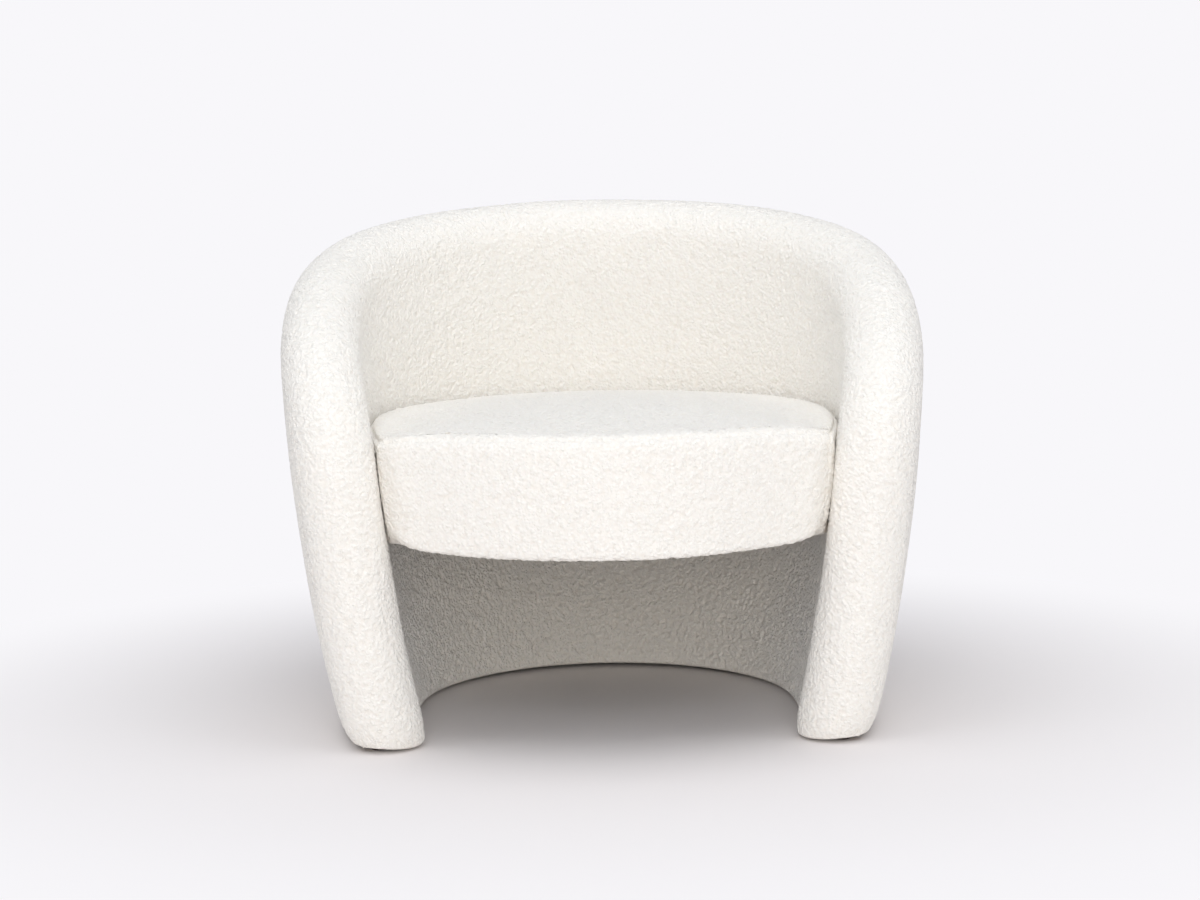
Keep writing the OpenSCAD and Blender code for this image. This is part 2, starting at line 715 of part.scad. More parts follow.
// Ends of a strap on the rails
function rail_back_y(x) =
    back_c.y + sqrt(pow(back_radius + rail_off, 2) - pow(abs(x) + web_w / 2, 2));
function rail_front_y(x) =
    seat_front(abs(x) + web_w / 2, rail_inset, seat_bottom).y + seat_rail_t / 4;
function rail_side_x(y) =
    let (split = corner_c.y + (corner_radius + rail_off) * cos(side_angle),
         far = max(y + web_w / 2, split), near = y - web_w / 2)
    min(corner_c.x + sqrt(pow(corner_radius + rail_off, 2) - pow(far - corner_c.y, 2)),
        near > split ? half_run : arm_c.x + sqrt(pow(arm_radius + rail_off, 2) - pow(near - arm_c.y, 2)));

// A strap that passes over and under those that cross it, drawn from the side and made web_w wide
module strap(from, to, places, k) {
    half = web_w / 2 + web_t;
    path = concat([[from, 0]],
        [for (m = [0:len(places) - 1]) let (z = web_lift(k, m))
            if (places[m] - half > from && places[m] + half < to)
                each [[places[m] - half, z], [places[m] + half, z]]],
        [[to, 0]]);
    color("sienna")
        translate([0, 0, seat_rail_top])
            rotate([90, 0, 0])
                linear_extrude(web_w, center = true)
                    polygon(concat(path, [for (p = reversed(path)) [p.x, p.y + web_t]]));
}

module long_strap(k) {
    x = long_place(k);
    translate([x, 0, 0])
        rotate([0, 0, 90])
            strap(rail_front_y(x), rail_back_y(x),
                  [for (m = [0:cross_count - 1]) cross_place(m)], k);
}

module cross_strap(m) {
    y = cross_place(m);
    translate([0, y, 0])
        strap(-rail_side_x(y), rail_side_x(y),
              [for (k = [0:long_count - 1]) long_place(k)], m + 1);
}

function names(stem, count) = [for (k = [1:count]) str(stem, "_", k)];

base_ring();
shelf_ring();
left_post();
left_arm_rail();
back_rail();
right_arm_rail();
right_post();
inside_skin();
lower_skin();
outside_skin();
inside_foam();
lower_foam();
outside_foam();
wall_cover();
outside_cover();
lower_cover();
base_dust_cover();
seat_platform();
seat_front_rail();
seat_side_rail();
seat_foam();
seat_cover();
seat_dust_cover();
for (k = [0:former_count - 1])
    former(former_step * k - former_run);
for (k = [0:len(glide_runs) - 1])
    glide(glide_runs[k]);
for (k = [0:len(screw_runs) - 1])
    seat_screw(screw_runs[k]);
for (k = [0:long_count - 1])
    long_strap(k);
for (k = [0:cross_count - 1])
    cross_strap(k);
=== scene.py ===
# %% [markdown]
# # A tub chair in cream boucle
#
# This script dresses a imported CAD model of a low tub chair. The CAD model holds the sizes, the
# frame, the webbing and the glides. Here its plain cloth and foam solids are replaced by padded
# pieces with a looped cloth, its dust covers by thin sheets, and everything gets a material. All
# lengths are metres, +Z is up, the open front faces -Y, and the origin is on the floor under the
# middle of the chair.

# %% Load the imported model
import math

import bpy
import numpy as np
from mathutils import Matrix, Vector


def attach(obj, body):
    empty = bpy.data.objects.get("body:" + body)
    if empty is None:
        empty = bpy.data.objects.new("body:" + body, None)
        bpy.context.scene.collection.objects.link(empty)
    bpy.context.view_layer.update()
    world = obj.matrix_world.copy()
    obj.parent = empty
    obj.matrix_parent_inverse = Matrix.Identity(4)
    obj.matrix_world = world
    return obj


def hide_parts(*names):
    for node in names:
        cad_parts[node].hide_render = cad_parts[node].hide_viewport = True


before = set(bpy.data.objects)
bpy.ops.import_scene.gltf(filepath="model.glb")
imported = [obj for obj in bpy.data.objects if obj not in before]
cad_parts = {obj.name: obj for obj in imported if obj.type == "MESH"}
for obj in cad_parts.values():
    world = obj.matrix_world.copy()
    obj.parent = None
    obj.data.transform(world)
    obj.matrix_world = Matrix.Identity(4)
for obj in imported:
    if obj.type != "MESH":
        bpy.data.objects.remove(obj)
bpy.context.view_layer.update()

# %% [markdown]
# ## The camera
#
# A photographer stood about three metres in front of the chair, held the camera 70 cm above the
# floor, and tilted it down by six degrees. A camera in Blender is described by its place, by three
# directions (right, up and backwards) and by its focal length. The focal length is worked out from
# pixels: a picture 1200 pixels wide on a 36 mm sensor.

# %% Camera
picture_width_px = 1200
focal_px = 2360.6
sensor_width_mm = 36
camera_place = Vector((-0.0624, -3.2317, 0.7095))
heading, pitch, roll = np.radians([1.061, 6.369, 1.107])

ahead = Vector((math.sin(heading) * math.cos(pitch),
                math.cos(heading) * math.cos(pitch), -math.sin(pitch)))
level_right = Vector((math.cos(heading), -math.sin(heading), 0))
level_up = level_right.cross(ahead)
right = math.cos(roll) * level_right - math.sin(roll) * level_up
up = math.sin(roll) * level_right + math.cos(roll) * level_up

camera_data = bpy.data.cameras.new("camera")
camera_data.sensor_width = sensor_width_mm
camera_data.lens = focal_px * sensor_width_mm / picture_width_px
camera_data.clip_end = 100
camera = bpy.data.objects.new("camera", camera_data)
camera.matrix_world = Matrix.Translation(camera_place) @ Matrix(
    (right, up, -ahead)).transposed().to_4x4()
bpy.context.scene.collection.objects.link(camera)
bpy.context.scene.camera = camera
print("lens", round(camera_data.lens, 2), "mm")

# %% [markdown]
# ## The wall's shape
#
# The wall is one thick panel that has been bent round the sitter. It is easiest to describe it
# flat, before bending: run is the distance along its middle line from the middle of the back, z is
# the height, and off is the distance outwards from the middle line. Three functions then bend it.
# plan follows three arcs on each side, lean draws the foot in under the rim, and rim gives the
# panel's edge, a superellipse that sweeps from the arms' front edges over the back.

# %% Sizes of the wall
back_radius, corner_radius, arm_radius = 0.355, 0.384, 0.735
back_angle, corner_angle = np.radians([35, 48])
back_run, corner_run, arm_run = back_radius * back_angle, corner_radius * corner_angle, 0.325
half_run = back_run + corner_run + arm_run
wall_t, seat_depth = 0.103, 0.650
half_t, back_y = wall_t / 2, seat_depth / 2
draw_in, draw_in_height = 0.066, 0.558
arm_front_z, back_z = 0.320, 0.690
run_power, rise_power = 1.98, 2.4
nose_depth = 0.057
cloth_foot_z = 0.005
slot_low_z, slot_high_z = 0.2617, 0.2983
outer_skin_off, inner_skin_off = 0.0368, -0.0158

arc_starts = np.array([0, back_run, back_run + corner_run])
arc_turns = np.array([0, back_angle, back_angle + corner_angle])
arc_radii = np.array([back_radius, corner_radius, arm_radius])
arc_centres = [np.array([0, back_y - back_radius])]
for k in (1, 2):
    toward = np.array([np.sin(arc_turns[k]), np.cos(arc_turns[k])])
    arc_centres.append(arc_centres[-1] + (arc_radii[k - 1] - arc_radii[k]) * toward)
arc_centres = np.array(arc_centres)


def plan(run, off):
    """Point in plan: centre + (radius + off) * (sin turn, cos turn) of the arc that holds run,
    mirrored in x for a negative run."""
    run, off = np.broadcast_arrays(run, off)
    k = np.searchsorted(arc_starts, np.abs(run), side="right") - 1
    turn = arc_turns[k] + (np.abs(run) - arc_starts[k]) / arc_radii[k]
    radius = arc_radii[k] + off
    x = arc_centres[k, 0] + radius * np.sin(turn)
    return np.sign(run) * x, arc_centres[k, 1] + radius * np.cos(turn)


def lean(z):
    """The wall leans out on its way up: off = -draw_in * (1 - z / draw_in_height)^2, then plumb."""
    return -draw_in * np.clip(1 - z / draw_in_height, 0, None) ** 2


def wall_point(run, z, off):
    """The bent panel: the plan at off + lean(z), at height z."""
    x, y = plan(run, lean(z) + off)
    return np.stack([x, y, np.broadcast_to(z, x.shape)], axis=-1)


def path_length(run, z):
    """Length along a path up to each of its points."""
    return np.concatenate([[0], np.cumsum(np.hypot(np.diff(run), np.diff(z)))])


def rim(count):
    """count + 1 points evenly along the rim on the flat panel, from the left arm to the right:
    run = half_run * sin(t)^(2/run_power), z = arm_front_z + rise * cos(t)^(2/rise_power)."""
    t = np.linspace(-np.pi / 2, np.pi / 2, 20001)
    run = np.sign(t) * half_run * np.abs(np.sin(t)) ** (2 / run_power)
    z = arm_front_z + (back_z - arm_front_z) * np.clip(np.cos(t), 0, 1) ** (2 / rise_power)
    length = path_length(run, z)
    even = np.linspace(0, length[-1], count + 1)
    return np.interp(even, length, run), np.interp(even, length, z)


def inward(run, z):
    """Unit vector from a point of the panel's edge into the panel: minus the gradient of
    (run / half_run)^run_power + ((z - arm_front_z) / rise)^rise_power."""
    rise = back_z - arm_front_z
    along = np.abs(run) / half_run
    height = np.clip(z - arm_front_z, 0, None) / rise
    g_run = np.sign(run) * run_power / half_run * along ** (run_power - 1)
    g_z = rise_power / rise * height ** (rise_power - 1)
    size = np.hypot(g_run, g_z)
    return -g_run / size, -g_z / size


print("half of the wall's run:", round(half_run, 4), "m")

# %% [markdown]
# ## Grids that make closed pads
#
# A pad is a fine grid of points for the cloth that shows, a coarse grid for its hidden back against
# the frame, and a strip that joins the two along their edges. The grids are built by the same
# function, the back with an eighth as many steps each way, so that eight fine edges meet one coarse
# edge and the strip can close them with fans of triangles. The result is a closed form with no
# wasted faces on the side that nobody sees.

# %% Grid helpers
coarse = 8


def grid_quads(ids, flip=False):
    """Quads between neighbouring ids of a 2D array."""
    quads = np.stack([ids[:-1, :-1], ids[:-1, 1:], ids[1:, 1:], ids[1:, :-1]], axis=-1)
    return (quads[..., ::-1] if flip else quads).reshape(-1, 4)


def stitch(fine, rough):
    """Triangles between two loops, where each edge of the rough loop meets `coarse` fine edges:
    a fan from the edge's first corner, one from its second, and one triangle between them."""
    n = len(rough)
    ahead_of = np.roll(rough, -1)
    fine_ring = np.append(fine, fine[0])
    k = np.arange(n)[:, None] * coarse + np.arange(coarse)
    apex = np.where(np.arange(coarse) < coarse // 2, rough[:, None], ahead_of[:, None])
    fans = np.stack([fine_ring[k + 1], fine_ring[k], apex], axis=-1).reshape(-1, 3)
    middle = fine_ring[np.arange(n) * coarse + coarse // 2]
    return np.concatenate([fans, np.stack([middle, rough, ahead_of], axis=-1)])


def blend(top, foot, left, right):
    """The inner points of a four sided patch between curves that meet at its corners: each is the
    sum of the two straight blends between opposite curves, less the blend of the corners."""
    u = np.linspace(0, 1, len(top))[None, :, None]
    v = np.linspace(0, 1, len(left))[:, None, None]
    sides = (1 - u) * left[:, None] + u * right[:, None] + (1 - v) * top[None] + v * foot[None]
    corners = ((1 - v) * ((1 - u) * top[0] + u * top[-1]) + v * ((1 - u) * foot[0] + u * foot[-1]))
    return (sides - corners)[1:-1, 1:-1]


def volume(points, quads, tris):
    """Signed volume of a closed mesh, positive where its faces point outwards."""
    all_tris = np.concatenate([quads[:, [0, 1, 2]], quads[:, [0, 2, 3]], tris])
    a, b, c = (points[all_tris[:, k]] for k in range(3))
    return np.einsum("ij,ij->i", a, np.cross(b, c)).sum() / 6


def put_mesh(name, points, quads, tris, curl=None):
    """A smooth shaded object at the origin, its place in its mesh, its faces turned outwards."""
    if volume(points, quads, tris) < 0:
        quads, tris = quads[:, ::-1], tris[:, ::-1]
    mesh = bpy.data.meshes.new(name)
    mesh.vertices.add(len(points))
    mesh.vertices.foreach_set("co", points.astype(np.float32).ravel())
    corners = np.concatenate([quads.ravel(), tris.ravel()]).astype(np.int32)
    mesh.loops.add(len(corners))
    mesh.loops.foreach_set("vertex_index", corners)
    starts = np.concatenate([np.arange(len(quads)) * 4, 4 * len(quads) + np.arange(len(tris)) * 3])
    mesh.polygons.add(len(starts))
    mesh.polygons.foreach_set("loop_start", starts.astype(np.int32))
    mesh.update(calc_edges=True)
    mesh.validate()
    mesh.shade_smooth()
    if curl is not None:
        mesh.attributes.new("curl", "FLOAT", "POINT").data.foreach_set(
            "value", curl.astype(np.float32))
    made = bpy.data.objects.new(name, mesh)
    bpy.context.scene.collection.objects.link(made)
    print(name, "has", 2 * len(quads) + len(tris), "triangles")
    return made


# %% [markdown]
# ## The cloth's loops
#
# Boucle is woven from a looped yarn, and its surface is a crowd of soft knots about five
# millimetres across. Their shape is a cellular pattern: space is cut into cubes, each cube holds
# one knot at a random place, and a point is high where it is near a knot and low between knots.
# Because the pattern lives in space and not on the surface, it has no seams and no stretching. The
# random place comes from a hash of the cube's number, so each run gives the same cloth.

# %% Looped surface
knot_size, knot_height, knot_reach = 0.0054, 0.0022, 0.8


def hashed(cells, salt):
    """A number from 0 to 1 for each cube, the same in each run."""
    n = cells[:, 0] * 73856093 ^ cells[:, 1] * 19349663 ^ cells[:, 2] * 83492791 ^ salt * 2654435
    n = (n ^ (n >> 13)) * 1274126177 & 0x7FFFFFFF
    n = (n ^ (n >> 15)) * 668265263 & 0x7FFFFFFF
    return (n ^ (n >> 12)) / 0x7FFFFFFF % 1


def knots(points, size=knot_size):
    """Height of the loops, 1 on a knot and 0 between knots: 1 - distance^2 / knot_reach, where the
    distance to the nearest knot is counted in cubes of the given size."""
    place = points / size
    cell = np.floor(place).astype(np.int64)
    nearest = np.full(len(points), 9.0)
    for step in np.ndindex(3, 3, 3):
        other = cell + np.array(step) - 1
        gap = sum((other[:, k] + hashed(other, k + 1) - place[:, k]) ** 2 for k in range(3))
        nearest = np.minimum(nearest, gap)
    return np.clip(1 - nearest / knot_reach, 0, 1)


def soft_waves(points, size):
    """Gentle unevenness of stuffed cloth, about -1 to 1: a sum of three slanted sine waves."""
    x, y, z = (points / size).T
    return (np.sin(2.1 * x + 1.3 * z + 0.4) * np.sin(1.7 * y - 0.9 * z)
            + np.sin(1.1 * x - 1.9 * y + 1.7) * np.sin(2.3 * z + 0.6 * x)) / 2


print("knots of", knot_size * 1000, "mm")

# %% [markdown]
# ## From two grids to a pad
#
# Cloth that is sewn at its edge turns under there, and its loops are pressed flat. So every pad
# needs to know two things about each of its points: which way is outwards, and how far away the
# edge is. At the floor the padding is turned under in a wider curve, widest at the front feet.

# %% Pad
seam_r, calm_reach = 0.003, 0.006
middle_loop, wave_height, wave_size = 0.75, 0.0007, 0.07
foot_round, foot_round_height = 0.011, 0.050
front_feet_y, front_feet_fade, back_share = -0.1, 0.2, 0.25


def crosses(points, quads):
    """The cross of each quad's diagonals: along its normal, and as long as twice its area."""
    corner = points[quads]
    return np.cross(corner[:, 2] - corner[:, 0], corner[:, 3] - corner[:, 1])


def normals(points, quads):
    """Unit normals of the points: the sum of the crosses of the quads round each."""
    face = crosses(points, quads)
    total = np.stack([np.bincount(quads.ravel(), np.repeat(face[:, k], 4), len(points))
                      for k in range(3)], axis=-1)
    return total / np.linalg.norm(total, axis=1, keepdims=True)


def edge_distance(points, quads, loop, rounds=16):
    """Distance of each point from the grid's edge loop, found by passing it on from point to point
    along the quads' sides. Points further than the rounds reach keep a large distance."""
    away = np.full(len(points), 1.0)
    away[loop] = 0
    ends = np.concatenate([quads[:, [k, (k + 1) % 4]] for k in range(4)])
    length = np.linalg.norm(points[ends[:, 0]] - points[ends[:, 1]], axis=1)
    for _ in range(rounds):
        np.minimum.at(away, ends[:, 0], away[ends[:, 1]] + length)
        np.minimum.at(away, ends[:, 1], away[ends[:, 0]] + length)
    return away


def foot_dip(points):
    """The padding is turned under at the floor: the cloth lies further in, by a quarter ellipse
    foot_round * (1 - sqrt(1 - (1 - u)^2)), with u from 0 at the foot to 1 at its full height.
    Behind front_feet_y only back_share of it is left."""
    u = np.clip((points[:, 2] - cloth_foot_z) / foot_round_height, 0, 1)
    front = np.clip((front_feet_y - points[:, 1]) / front_feet_fade, 0, 1)
    share = back_share + (1 - back_share) * front
    return share * foot_round * (1 - np.sqrt(1 - (1 - u) ** 2))


def pad(name, front, rear, groove=0, relief=1):
    """A closed pad from two grids, each a tuple of points, quads and the loop round its edge.
    The front dips along its normals towards its edge, as cloth that is turned under does: a quarter
    circle of radius seam_r. Its loops and a slight unevenness rise along the same normals, and
    fade out at the edge. groove is how far each point lies in a sewn groove, and relief makes the
    loops higher where nothing presses them flat."""
    count = len(front[0])
    quads = np.concatenate([front[1], rear[1][:, ::-1] + count])
    tris = stitch(front[2], rear[2] + count)
    outwards = np.sign(volume(np.concatenate([front[0], rear[0]]), quads, tris))
    away = edge_distance(*front)
    inside = np.clip(away, 0, seam_r)
    dip = seam_r - np.sqrt(seam_r ** 2 - (seam_r - inside) ** 2)
    calm = np.clip(away / calm_reach, 0, 1)
    loops = knots(front[0])
    lift = (calm * (relief * knot_height * (loops - middle_loop)
                    + wave_height * soft_waves(front[0], wave_size))
            - dip - groove - foot_dip(front[0]))
    raised = front[0] + outwards * lift[:, None] * normals(*front[:2])
    # The loops' heights also go to the mesh as its curl attribute, from which the boucle paints
    # shade between the knots.
    return put_mesh(name, np.concatenate([raised, rear[0]]), quads, tris,
                    np.concatenate([loops, np.full(len(rear[0]), 0.5)]))


# %% [markdown]
# ## The roll over the rim and the inside of the wall
#
# One piece of cloth starts at a seam on the outside, rolls over the thick foam of the rim and of
# the arms' front edges, and goes down the inside to the seat. Its section round the rim is half an
# ellipse. The grid follows the panel's edge: up the left front edge, over the rim and down the
# right one. Inside the roll, a four sided patch fills the panel down to the slot in which the seat
# stands. Its sides are the arms' front edges up to a chosen height, so that its steps are of like
# sizes.

# %% Roll and inside
split_z = 0.46


def panel_edge(low, gap, over):
    """The panel's edge on the flat: low steps to the slot, gap steps to a height of split_z on the
    rim's curve, over steps along the rest of the curve, and the same down the right side."""
    low_z = np.linspace(cloth_foot_z, slot_high_z, low + 1)[:-1]
    curve_run, curve_z = rim(4000)
    run = np.concatenate([[-half_run], curve_run, [half_run]])
    z = np.concatenate([[slot_high_z], curve_z, [slot_high_z]])
    length = path_length(run, z)
    split = np.interp(split_z, z[:len(z) // 2], length[:len(z) // 2])
    even = np.concatenate([np.linspace(0, split, gap + 1)[:-1],
                           np.linspace(split, length[-1] - split, over + 1),
                           length[-1] - np.linspace(split, 0, gap + 1)[1:]])
    side = np.full(len(low_z), half_run)
    return (np.concatenate([-side, np.interp(even, length, run), side]),
            np.concatenate([low_z, np.interp(even, length, z), low_z[::-1]]))


def roll_grid(low, gap, over, around, section):
    """The roll and the inside face. section(share) gives the depth from the edge and the place
    across the wall, for a share from 0 at the outside seam to 1 at the inside face."""
    run, z = panel_edge(low, gap, over)
    to_run, to_z = inward(run, z)
    depth, off = section(np.linspace(0, 1, around + 1))
    roll = wall_point(run + depth[:, None] * to_run, z + depth[:, None] * to_z, off[:, None])
    cols = len(run)
    first, last = low + gap, low + gap + over
    inner_edge = np.stack([run + depth[-1] * to_run, z + depth[-1] * to_z], axis=-1)
    foot = inner_edge[[low, cols - 1 - low]]
    foot = foot[0] + np.linspace(0, 1, over + 1)[:, None] * (foot[1] - foot[0])
    flat = blend(inner_edge[first:last + 1], foot, inner_edge[low:first + 1][::-1],
                 inner_edge[last:cols - low])
    flat = np.concatenate([flat, foot[None, 1:-1]])
    face = wall_point(flat[..., 0], flat[..., 1], off[-1])
    roll_ids = np.arange((around + 1) * cols).reshape(around + 1, cols)
    face_ids = roll_ids.size + np.arange(face.shape[0] * face.shape[1]).reshape(face.shape[:2])
    edge = np.arange(gap) + 1
    inner = np.vstack([roll_ids[-1, first:last + 1][None], np.hstack([
        roll_ids[-1, first - edge][:, None], face_ids, roll_ids[-1, last + edge][:, None]])])
    quads = np.concatenate([grid_quads(roll_ids), grid_quads(inner)])
    loop = np.concatenate([
        roll_ids[0], roll_ids[1:, -1], roll_ids[-1, cols - 2:cols - 1 - low:-1],
        inner[-1, ::-1], roll_ids[-1, low - 1::-1], roll_ids[-2:0:-1, 0]])
    return np.concatenate([roll.reshape(-1, 3), face.reshape(-1, 3)]), quads, loop


def roll_cloth(share):
    """Half an ellipse round the rim: depth = nose_depth * (1 - cos a), off = half_t * sin a, for a
    from 90 to -90 degrees."""
    a = np.pi / 2 * (1 - 2 * share)
    return nose_depth * (1 - np.cos(a)), half_t * np.sin(a)


def roll_back(share):
    """The hidden side: along the outside skin, across the rim's rail, and along the inside skin."""
    rail_depth, skin_share = 0.0395, 0.2
    across = np.clip((share - skin_share) / (1 - 2 * skin_share), 0, 1)
    depth = np.where((share <= 0) | (share >= 1), nose_depth, rail_depth)
    return depth, outer_skin_off + (inner_skin_off - outer_skin_off) * across


steps = (144, 152, 840, 80)  # low, gap, over, around
roll_front = roll_grid(*steps, roll_cloth)
roll_rear = roll_grid(*[n // coarse for n in steps], roll_back)
roll_pad = pad("roll_and_inside", roll_front, roll_rear)

# %% [markdown]
# ## The outside and the space under the seat
#
# The outside of the wall is closed by a second piece of cloth, sewn to the roll all the way round.
# A third one lines the space under the seat. Both are four sided grids on the bent panel: the
# columns hang from the top edge to the foot.

# %% Outside and lining
fit, arch_rise = 0.0003, 0.003
outside_steps, lining_steps, lining_relief = (800, 256), (640, 120), 1.7


def hanging_grid(top_run, top_z, foot_run, foot_z, rows, off):
    """Straight columns on the flat panel, from a top edge to a foot, bent at a distance off."""
    share = np.linspace(0, 1, rows + 1)[:, None]
    run = top_run + share * (foot_run - top_run)
    points = wall_point(run, top_z + share * (foot_z - top_z), off)
    ids = np.arange(run.size).reshape(run.shape)
    loop = np.concatenate([ids[0], ids[1:, -1], ids[-1, -2::-1], ids[-2:0:-1, 0]])
    return points.reshape(-1, 3), grid_quads(ids), loop


def outside_grid(over, rows, off):
    """The panel inside the seam that follows the rim at the nose's depth."""
    run, z = rim(over)
    to_run, to_z = inward(run, z)
    depth = nose_depth + fit
    return hanging_grid(run + depth * to_run, z + depth * to_z,
                        run * (half_run - depth) / half_run, cloth_foot_z, rows, off)


def lining_grid(across, rows, off):
    """The inside face below the seat's slot. Its foot rises a little from the arms to the back."""
    run = np.linspace(-1, 1, across + 1) * (half_run - nose_depth - fit)
    foot_z = cloth_foot_z + arch_rise * (1 - (run / run[-1]) ** 2)
    return hanging_grid(run, slot_low_z, run, foot_z, rows, off)


outside_pad = pad("outside_cloth", outside_grid(*outside_steps, half_t),
                  outside_grid(*[n // coarse for n in outside_steps], outer_skin_off))
lining_pad = pad("lining_cloth", lining_grid(*lining_steps, -half_t),
                 lining_grid(*[n // coarse for n in lining_steps], inner_skin_off),
                 relief=lining_relief)

# %% [markdown]
# ## The seat's form
#
# Seen from above the seat is a D. Its round side follows the wall's inside face, and its front is
# bowed. Its section has a lip that is turned under the frame, a rounded lower edge, an upright side
# and a rounded top edge with a sewn seam, and its top is crowned. The grid is made of rings round
# the sides, and of a four sided patch on the top, because rings that shrink to a point would crowd
# the middle with thin faces.

# %% Seat sizes
seat_gap, corner_round, seat_setback = -0.0005, 0.007, 0.040
seat_run = half_run - seat_setback
seat_low_z, seat_sag = 0.259, 0.007
low_corner_wide, low_corner_high, low_corner_back = 0.040, 0.028, 1.6
lip_depth, lip_more = 0.025, 0.005
seam_z, seam_rise, back_rise, back_rise_run = 0.392, 0.008, 0.008, 0.25
front_y = -(seat_depth + wall_t) / 2
corner_y = float(plan(seat_run, -half_t - seat_gap)[1])
bow = corner_y - front_y
shelf_end, shelf_fade = 0.692, 0.745
crown_place, crown_z = np.array([0, 0.040]), 0.418
web_top_z = 0.3496
front_half, patch_half = 0.27, 0.29
patch_run = patch_half * (back_radius / (back_radius - half_t))


def seat_columns(n_back, n_side, n_corner):
    """The right half's columns, from the middle of the back to the middle of the front: their run
    along the wall, then their share round the corner, then their share of the bowed front."""
    runs = np.concatenate([
        np.linspace(0, patch_run, n_back // 2 + 1)[:-1],
        np.linspace(patch_run, seat_run - corner_round, n_side - n_corner // 2 + 1)])
    corner = np.linspace(0, 1, n_corner + 1)[1:-1]
    return runs, corner, np.linspace(1, 0, (n_back - n_corner) // 2 + 1)


def seat_facts(columns):
    """For each column of the right half: height of the lower edge, height of the top seam, how
    far it has left the shelf, from 0 to 1, and how much the round lower corner lifts the edge. The
    seam is lowest at the front corners. It rises steeply into the front, with 1 - share^6, and
    slowly along the sides. The lift is high * (1 - sqrt(1 - u^2)), with u from 1 at the corner to 0
    at the corner's width, and it runs further back along the sides."""
    runs, corner, front = columns
    rest = np.ones(len(corner) + len(front))
    off_shelf = np.concatenate([np.clip((runs - shelf_end) / (shelf_fade - shelf_end), 0, 1), rest])
    before = np.zeros(len(runs) + len(corner))
    low = (slot_high_z + (seat_low_z - slot_high_z) * off_shelf
           - seat_sag * np.concatenate([before, 1 - front ** 2]))
    back = np.clip((seat_run - runs) / back_rise_run, 0, 1)
    seam = (seam_z + seam_rise * np.concatenate([before, 1 - front ** 6])
            + back_rise * np.concatenate([back * back * (3 - 2 * back), 0 * rest]))
    from_corner = np.concatenate([(seat_run - corner_round - runs) / low_corner_back, 0 * corner,
                                  front_half * (1 - front)])
    u = np.clip(1 - from_corner / low_corner_wide, 0, 1)
    return low, seam, off_shelf, low_corner_high * (1 - np.sqrt(1 - u ** 2))


# %% [markdown]
# ### Rings and patch
#
# Each ring follows the wall's inside face, turns a small corner and crosses the bowed front. The
# patch closes the last ring, and is lifted to the crown.

# %% Rings and patch
def nose_room(run):
    """How far the rounding of the arm's front edge has left the wall's inside face at a run:
    half_t * (1 - sqrt(1 - (1 - d / nose_depth)^2)) at a distance d from the edge."""
    d = np.clip((half_run - run) / nose_depth, 0, 1)
    return half_t * (1 - np.sqrt(1 - (1 - d) ** 2))


def seat_ring(columns, inset, z):
    """Rows of points round the seat at an inset from its outline and a height, both given for each
    row and column of the right half. The side keeps a distance from the wall's centre line, the
    front is y = corner_y + inset - bow * (1 - (x / half)^2), and a quadratic Bezier curve rounds
    the corner between them. The left half is the mirror image."""
    runs, corner, front = columns
    off = lean(z) - half_t - seat_gap - inset
    cut = [len(runs), len(runs) + len(corner)]

    def beside(run, part):
        return plan(run, off[:, part] + nose_room(run))

    def bowed(part, share):
        half = beside(seat_run, part)[0]
        x = (half - corner_round) * share
        return np.stack([x, corner_y + inset[:, part] - bow * (1 - (x / half) ** 2)], axis=-1)

    side = np.stack(beside(runs, slice(cut[0])), axis=-1)
    part = slice(*cut)
    a = np.stack(beside(seat_run - corner_round, part), axis=-1)
    b = np.stack([beside(seat_run, part)[0], corner_y + inset[:, part]], axis=-1)
    c = bowed(part, 1)
    t = corner[:, None]
    xy = np.concatenate([side, (1 - t) ** 2 * a + 2 * t * (1 - t) * b + t ** 2 * c,
                         bowed(slice(cut[1], None), front)], axis=1)
    right = np.concatenate([xy, z[..., None]], axis=-1)
    left = (right * [-1, 1, 1])[:, -2:0:-1]
    return np.concatenate([right, left], axis=1)


def patch(edge, n_back, n_side):
    """A four sided patch inside a ring of points that starts at its back right corner."""
    n = len(edge)
    return blend(edge[-np.arange(n_back + 1) % n], edge[n_side:n_side + n_back + 1],
                 edge[:n_side + 1], edge[2 * n_side + n_back - np.arange(n_side + 1)])


def patch_ids(ring_ids, first, n_back, n_side):
    """The patch's point numbers, with the ring's along its edge."""
    ids = np.empty((n_side + 1, n_back + 1), np.int64)
    ids[1:-1, 1:-1] = first + np.arange((n_side - 1) * (n_back - 1)).reshape(n_side - 1, -1)
    ids[:, 0] = ring_ids[:n_side + 1]
    ids[-1] = ring_ids[n_side:n_side + n_back + 1]
    ids[:, -1] = ring_ids[2 * n_side + n_back - np.arange(n_side + 1)]
    ids[0] = ring_ids[-np.arange(n_back + 1) % len(ring_ids)]
    return ids


def from_crown(points):
    """Direction and distance of points from the crown's middle, seen from above."""
    d = points[..., :2] - crown_place
    return np.arctan2(d[..., 1], d[..., 0]), np.hypot(d[..., 0], d[..., 1])


def crowned(points, edge):
    """Lifts a patch to the crown: z = crown - (crown - edge height) * (r / r of the edge)^2, with
    the edge's height and r taken in the direction of each point."""
    turn, far = from_crown(edge)
    order = np.argsort(turn)
    at, r = from_crown(points)
    edge_r = np.interp(at, turn[order], far[order], period=2 * np.pi)
    edge_z = np.interp(at, turn[order], edge[order, 2], period=2 * np.pi)
    points[..., 2] = crown_z - (crown_z - edge_z) * (r / edge_r) ** 2
    return points


